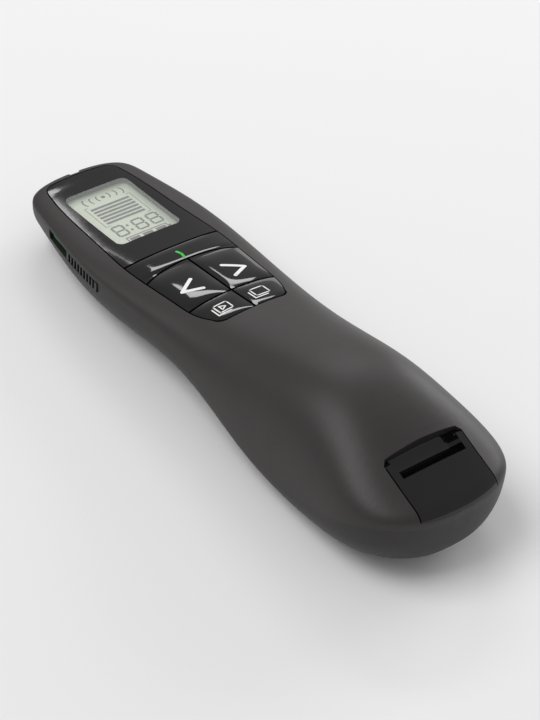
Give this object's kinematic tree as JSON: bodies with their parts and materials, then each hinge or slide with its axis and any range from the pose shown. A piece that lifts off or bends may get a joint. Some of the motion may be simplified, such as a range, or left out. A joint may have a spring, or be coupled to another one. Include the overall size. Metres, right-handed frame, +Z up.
{
  "type": "wireless presentation clicker",
  "caption": "Handheld wireless presentation clicker with glossy slide keys, a timer display, side timer keys, a power slider, a laser pointer and a receiver stored in its tail.",
  "frame": {"origin": "on the resting surface, under the middle of the body's box", "axes": "+Y along the body towards the nose with the laser, +X to the right-hand side, +Z up through the keys"},
  "size_m": [0.0372, 0.1292, 0.0277],
  "materials": {
    "batteries": "printed sleeve",
    "battery_contacts": "nickel plated",
    "battery_door": "soft-touch",
    "battery_springs": "nickel plated",
    "blank_screen_key": "piano black",
    "blank_screen_plunger": "moulded",
    "bottom_shell": "soft-touch",
    "case_screws": "nickel plated",
    "circuit_board": "solder mask",
    "display_connector": "striped elastomer",
    "display_glass": "grey green",
    "display_lens": "clear",
    "display_tray": "white",
    "fascia_panel": "piano black",
    "key_frame": "moulded",
    "key_switches": "stamped",
    "laser_barrel": "plain",
    "laser_key": "piano black",
    "laser_lens": "tinted",
    "laser_plunger": "moulded",
    "laser_window": "tinted",
    "motor_shaft": "nickel plated",
    "motor_weight": "plain",
    "next_key": "piano black",
    "next_plunger": "moulded",
    "plug_contacts": "plain",
    "plug_sleeve": "nickel plated",
    "plug_tongue": "moulded",
    "power_lever": "moulded",
    "power_mark": "green",
    "power_slider": "moulded",
    "power_switch": "stamped",
    "previous_key": "piano black",
    "previous_plunger": "moulded",
    "receiver_board": "solder mask",
    "receiver_body": "piano black",
    "side_switches": "stamped",
    "slideshow_key": "piano black",
    "slideshow_plunger": "moulded",
    "timer_minus_key": "moulded",
    "timer_minus_plunger": "moulded",
    "timer_plus_key": "moulded",
    "timer_plus_plunger": "moulded",
    "timer_start_key": "moulded",
    "timer_start_plunger": "moulded",
    "top_shell": "soft-touch",
    "vibration_motor": "nickel plated"
  },
  "bodies": {
    "housing": {"batteries": "batteries", "battery_contacts": "battery_contacts", "battery_springs": "battery_springs", "bottom_shell": "bottom_shell", "case_screws": "case_screws", "circuit_board": "circuit_board", "display_connector": "display_connector", "display_glass": "display_glass", "display_lens": "display_lens", "display_tray": "display_tray", "fascia_panel": "fascia_panel", "key_frame": "key_frame", "key_switches": "key_switches", "laser_barrel": "laser_barrel", "laser_lens": "laser_lens", "laser_window": "laser_window", "power_mark": "power_mark", "power_switch": "power_switch", "side_switches": "side_switches", "top_shell": "top_shell", "vibration_motor": "vibration_motor"},
    "laser_key": {"laser_key": "laser_key", "laser_plunger": "laser_plunger"},
    "previous_key": {"previous_key": "previous_key", "previous_plunger": "previous_plunger"},
    "next_key": {"next_key": "next_key", "next_plunger": "next_plunger"},
    "slideshow_key": {"slideshow_key": "slideshow_key", "slideshow_plunger": "slideshow_plunger"},
    "blank_screen_key": {"blank_screen_key": "blank_screen_key", "blank_screen_plunger": "blank_screen_plunger"},
    "timer_minus_key": {"timer_minus_key": "timer_minus_key", "timer_minus_plunger": "timer_minus_plunger"},
    "timer_plus_key": {"timer_plus_key": "timer_plus_key", "timer_plus_plunger": "timer_plus_plunger"},
    "timer_start_key": {"timer_start_key": "timer_start_key", "timer_start_plunger": "timer_start_plunger"},
    "power_slider": {"power_slider": "power_slider", "power_lever": "power_lever"},
    "battery_door": {"battery_door": "battery_door"},
    "receiver": {"receiver_body": "receiver_body", "receiver_board": "receiver_board", "plug_sleeve": "plug_sleeve", "plug_tongue": "plug_tongue", "plug_contacts": "plug_contacts"},
    "motor_rotor": {"motor_shaft": "motor_shaft", "motor_weight": "motor_weight"}
  },
  "joints": [
    {"name": "laser_key_press", "type": "slide", "parent": "housing", "child": "laser_key", "axis": [0, 0, -1], "range_m": [0, 0.0006], "stiffness_N_per_m": 300, "springref_m": -0.0006},
    {"name": "previous_key_press", "type": "slide", "parent": "housing", "child": "previous_key", "axis": [0, 0, -1], "range_m": [0, 0.0006], "stiffness_N_per_m": 300, "springref_m": -0.0006},
    {"name": "next_key_press", "type": "slide", "parent": "housing", "child": "next_key", "axis": [0, 0, -1], "range_m": [0, 0.0006], "stiffness_N_per_m": 300, "springref_m": -0.0006},
    {"name": "slideshow_key_press", "type": "slide", "parent": "housing", "child": "slideshow_key", "axis": [0, 0, -1], "range_m": [0, 0.0006], "stiffness_N_per_m": 300, "springref_m": -0.0006},
    {"name": "blank_screen_key_press", "type": "slide", "parent": "housing", "child": "blank_screen_key", "axis": [0, 0, -1], "range_m": [0, 0.0006], "stiffness_N_per_m": 300, "springref_m": -0.0006},
    {"name": "timer_minus_key_press", "type": "slide", "parent": "housing", "child": "timer_minus_key", "axis": [-1, 0, 0], "range_m": [0, 0.0005], "stiffness_N_per_m": 300, "springref_m": -0.0006},
    {"name": "timer_plus_key_press", "type": "slide", "parent": "housing", "child": "timer_plus_key", "axis": [-1, 0, 0], "range_m": [0, 0.0005], "stiffness_N_per_m": 300, "springref_m": -0.0006},
    {"name": "timer_start_key_press", "type": "slide", "parent": "housing", "child": "timer_start_key", "axis": [-1, 0, 0], "range_m": [0, 0.0005], "stiffness_N_per_m": 300, "springref_m": -0.0006},
    {"name": "power_slide", "type": "slide", "parent": "housing", "child": "power_slider", "axis": [0.1008, 0.9945, -0.0298], "range_m": [0, 0.0074]},
    {"name": "battery_door_release", "type": "slide", "parent": "housing", "child": "battery_door", "axis": [0, 0, -1], "range_m": [0, 0.025]},
    {"name": "receiver_slide", "type": "slide", "parent": "housing", "child": "receiver", "axis": [0, -1, 0], "range_m": [0, 0.055]},
    {"name": "motor_spin", "type": "hinge", "parent": "housing", "child": "motor_rotor", "pos_m": [-0.006, 0.0285, 0.0059], "axis": [0, 1, 0], "continuous": true}
  ]
}
